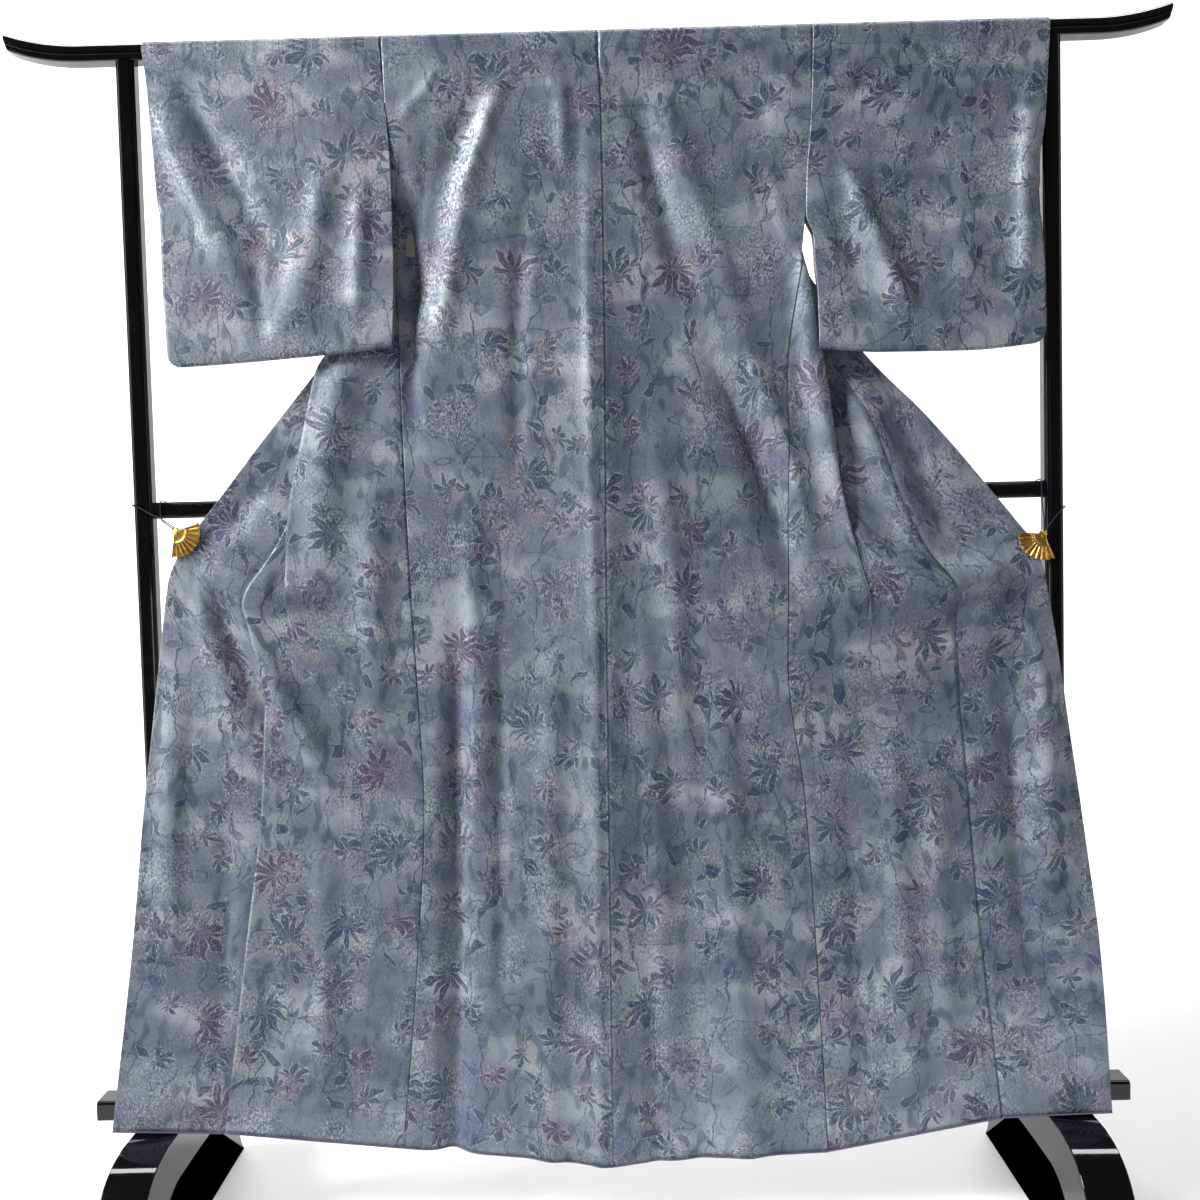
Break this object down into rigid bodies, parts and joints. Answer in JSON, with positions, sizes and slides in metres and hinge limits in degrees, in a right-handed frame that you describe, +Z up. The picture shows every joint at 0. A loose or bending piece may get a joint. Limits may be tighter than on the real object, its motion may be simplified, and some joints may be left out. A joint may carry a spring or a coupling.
{
  "type": "silk kimono on a kimono stand",
  "caption": "Silk kimono spread over the rail of a black lacquered kimono stand, its back to the viewer and its fronts drawn out to the posts by fan-shaped clips.",
  "frame": {"origin": "on the floor under the middle of the stand", "axes": "+Z up, +X along the rail towards the right sleeve as seen from the garment's back, +Y away from the garment's back panels, so the back faces -Y"},
  "size_m": [1.684, 0.4366, 1.778],
  "materials": {
    "lacquer": "black lacquer over wood, polished to a mirror gloss",
    "silk": "silvery blue-grey figured silk, woven with small flowers in indigo, plum and teal, satin sheen",
    "gilt": "polished gilt metal",
    "cord": "dark purple twisted cord"
  },
  "bodies": {
    "root": {"rail": "lacquer", "post_left": "lacquer", "post_right": "lacquer", "crossbar": "lacquer", "base_bar": "lacquer", "foot_left": "lacquer", "foot_right": "lacquer", "body_left": "silk", "body_right": "silk", "okumi_left": "silk", "okumi_right": "silk", "sleeve_left": "silk", "sleeve_right": "silk", "collar": "silk", "clip_left": "gilt", "clip_right": "gilt", "cord_left": "cord", "cord_right": "cord"}
  },
  "joints": []
}
